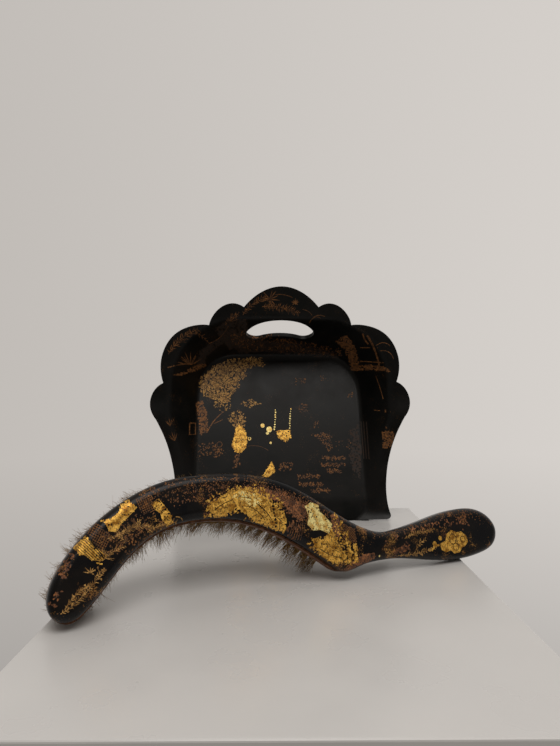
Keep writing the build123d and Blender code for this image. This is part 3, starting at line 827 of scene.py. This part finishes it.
# %% Grow the strands
draw = np.random.default_rng(7)
strands_per_tuft, rings, sides = 95, 6, 3
strand_radius, root_radius, fan_radius = 0.13 * mm, 1.4 * mm, 3.6 * mm
strand_reach, table_clear = 22 * mm, 0.4 * mm
late_bend, slimmer = 1.6, 0.6  # a strand bends mostly near its tip, and thins towards it
slip_back = 0.55  # how far a strand that meets the table slides, for each millimetre it is lifted
worn, worn_width = ((0.9, 55), (0.8, 162)), 16  # how much more, and where along, in millimetres
slump_by_row = {1: -3.4, 2: -2.6, 3: -1.0, 4: 0.4, 5: 0.9}
points, faces = [], []
for row, top, end in tufts:
    aim = end - top
    aim = aim / np.linalg.norm(aim)
    start_depth = board_back - 0.2 * mm - top @ out
    root_middle = top + aim * (start_depth / (aim @ out))
    across = np.cross(aim, np.array(face_up))
    across /= np.linalg.norm(across)
    beside = np.cross(aim, across)
    tuft_lean = draw.normal(0, 1.0 * mm, 2)
    tuft_reach = strand_reach * draw.uniform(0.9, 1.06)
    # use has pushed the outer rows over the edge, most near the tip and below the shoulder
    along = (top @ np.array(face_across) - min(cover_ends)) / mm
    pushed = 1 + sum(much * math.exp(-((along - spot) / worn_width) ** 2) for much, spot in worn)
    slump = np.array(face_up) * (slump_by_row[row] * pushed * mm)
    for k in range(strands_per_tuft):
        turn, out_by = draw.uniform(0, 2 * math.pi), math.sqrt(draw.uniform(0, 1))
        unit = across * math.cos(turn) + beside * math.sin(turn)
        root_spot = root_middle + unit * (root_radius * out_by)
        stray = 1.8 if draw.uniform() < 0.06 else 1.0
        drift = unit * (fan_radius * out_by * draw.uniform(0.4, 1.25) * stray)
        drift = drift + across * (tuft_lean[0] + draw.normal(0, 1.7 * mm))
        drift = drift + beside * (tuft_lean[1] + draw.normal(0, 0.9 * mm)) + slump
        reach = tuft_reach * draw.uniform(0.84, 1.04)
        curl = draw.normal(0, 0.8 * mm, 3)
        side_a = across * math.cos(turn) + beside * math.sin(turn)
        side_b = np.cross(aim, side_a)
        base = len(points)
        thick = strand_radius * draw.uniform(0.75, 1.2)
        for j in range(rings):
            t = j / (rings - 1)
            middle = root_spot + aim * (reach * t) + drift * t ** late_bend
            middle = middle + curl * math.sin(math.pi * t)
            low = table_clear + thick
            if middle[2] < low:
                slip = low - middle[2]
                middle = middle + np.array([0.0, slip_back * slip, slip])
            radius = thick * (1 - slimmer * t)
            for s in range(sides):
                around = 2 * math.pi * s / sides
                rim = side_a * math.cos(around) + side_b * math.sin(around)
                points.append(middle + rim * radius)
        for j in range(rings - 1):
            for s in range(sides):
                a, b = base + j * sides + s, base + j * sides + (s + 1) % sides
                faces.append((a, b, b + sides, a + sides))
        tip = base + (rings - 1) * sides
        faces.append((base + 2, base + 1, base))
        faces.append((tip, tip + 1, tip + 2))
mesh = bpy.data.meshes.new("bristles")
mesh.from_pydata([tuple(p) for p in points], [], faces)
mesh.materials.append(fibre)
mesh.shade_smooth()
bristles = bpy.data.objects.new("bristles", mesh)
bpy.context.scene.collection.objects.link(bristles)
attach(bristles, "brush")
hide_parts(*[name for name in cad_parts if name.startswith("tuft_row")])
print("grew", len(tufts) * strands_per_tuft, "strands")

# %% [markdown]
# ## Table, light and camera
# A small pale table with a satin top mirrors the pieces faintly, as rubbed white lacquer does.
# The room is one soft grey, paler behind the object than in front of it and darker low down,
# and one broad lamp hangs high in front. The camera stands at eye level with the pan's middle,
# half a metre off. Its place is worked out from the pan, so it follows if the frame moves.

# %% Camera
eye = Vector(((pan_low.x + pan_high.x) / 2 - 28.9 * mm, pan_low.y - 512.3 * mm, 133.4 * mm))
turn, tilt, roll = math.radians(3.0), math.radians(0.92), math.radians(0.3)
ahead = Vector((math.sin(turn) * math.cos(tilt), math.cos(turn) * math.cos(tilt), math.sin(tilt)))
level = Vector((math.cos(turn), -math.sin(turn), 0))
upright = level.cross(ahead)
right = level * math.cos(roll) - upright * math.sin(roll)
top = upright * math.cos(roll) + level * math.sin(roll)
lens = bpy.data.cameras.new("eye level")
lens.lens = 27.0
lens.clip_start, lens.clip_end = 0.01, 50
camera = bpy.data.objects.new("eye level", lens)
bpy.context.scene.collection.objects.link(camera)
camera.rotation_mode = "QUATERNION"
camera.matrix_world = Matrix((
    (right.x, top.x, -ahead.x, eye.x),
    (right.y, top.y, -ahead.y, eye.y),
    (right.z, top.z, -ahead.z, eye.z),
    (0, 0, 0, 1),
))
bpy.context.scene.camera = camera

# %% Table
table_finish, tree, shader, place = material("rubbed white lacquer")
smear = add(tree, "ShaderNodeTexNoise", {"Vector": place, "Scale": per(60), "Detail": 5.0})
white = add(tree, "ShaderNodeValToRGB", {"Fac": smear.outputs["Fac"]},
            stops=[(0, "#c5c4c3"), (1, "#d1d0ce")])
wipe = add(tree, "ShaderNodeMapRange", {"Value": smear.outputs["Fac"], 1: 0.3, 2: 0.7,
                                        3: 0.24, 4: 0.36})
tree.links.new(white.outputs["Color"], shader.inputs["Base Color"])
tree.links.new(wipe.outputs[0], shader.inputs["Roughness"])
forward = Vector((math.sin(turn), math.cos(turn), 0))
left_side, right_side, near, far = -131, 135, 211, 592
foot = Vector((eye.x, eye.y, 0))
corner_spots = [foot + forward * (d * mm) + level * (x * mm)
                for x, d in ((left_side, near), (right_side, near), (right_side, far),
                             (left_side, far))]
mesh = bpy.data.meshes.new("table_top")
thickness = 32 * mm
mesh.from_pydata(corner_spots + [spot - Vector((0, 0, thickness)) for spot in corner_spots], [],
                 [(0, 1, 2, 3), (7, 6, 5, 4), (0, 4, 5, 1), (1, 5, 6, 2), (2, 6, 7, 3),
                  (3, 7, 4, 0)])
mesh.materials.append(table_finish)
table = bpy.data.objects.new("table_top", mesh)
bpy.context.scene.collection.objects.link(table)
edge = table.modifiers.new("eased edge", "BEVEL")
edge.width, edge.segments = 1.2 * mm, 3

# %% Room and lamp
world = bpy.data.worlds.new("soft room")
bpy.context.scene.world = world
world.use_nodes = True
tree = world.node_tree
direction = add(tree, "ShaderNodeTexCoord").outputs["Generated"]
facing = add(tree, "ShaderNodeSeparateXYZ", {0: direction})
behind = add(tree, "ShaderNodeMapRange", {"Value": facing.outputs["Y"], 1: -0.6, 2: 0.35,
                                          3: 0.0, 4: 1.0})
sideways = add(tree, "ShaderNodeMapRange", {"Value": facing.outputs["X"], 1: -0.5, 2: 0.5,
                                            3: 0.0, 4: 1.0})
wall = add(tree, "ShaderNodeMix", {0: sideways.outputs[0], 6: paint("#bfbab5"),
                                   7: paint("#d5d0cb")}, data_type="RGBA")
low = add(tree, "ShaderNodeMapRange", {"Value": facing.outputs["Z"], 1: -0.12, 2: -0.5,
                                       3: 1.0, 4: 0.68})
dimmed = add(tree, "ShaderNodeMix", {0: 1.0, 6: wall.outputs[2], 7: low.outputs[0]},
             data_type="RGBA", blend_type="MULTIPLY")
room = add(tree, "ShaderNodeMix", {0: behind.outputs[0], 6: paint("#77726c"),
                                   7: dimmed.outputs[2]}, data_type="RGBA")
tree.links.new(room.outputs[2], tree.nodes["Background"].inputs["Color"])
lamp = bpy.data.lights.new("broad lamp", "AREA")
lamp.shape, lamp.size, lamp.size_y = "RECTANGLE", 1.1, 0.8
lamp.energy = 10.5
lamp.color = paint("#fffaf5")[:3]
hung = bpy.data.objects.new("broad lamp", lamp)
bpy.context.scene.collection.objects.link(hung)
hung.location = (0.12, -0.72, 1.15)
hung.rotation_mode = "QUATERNION"
hung.rotation_quaternion = (Vector((0, 0, 0.08)) - hung.location).to_track_quat("-Z", "Y")
bpy.context.scene.view_settings.view_transform = "Standard"
print("camera at", tuple(round(c, 3) for c in eye))
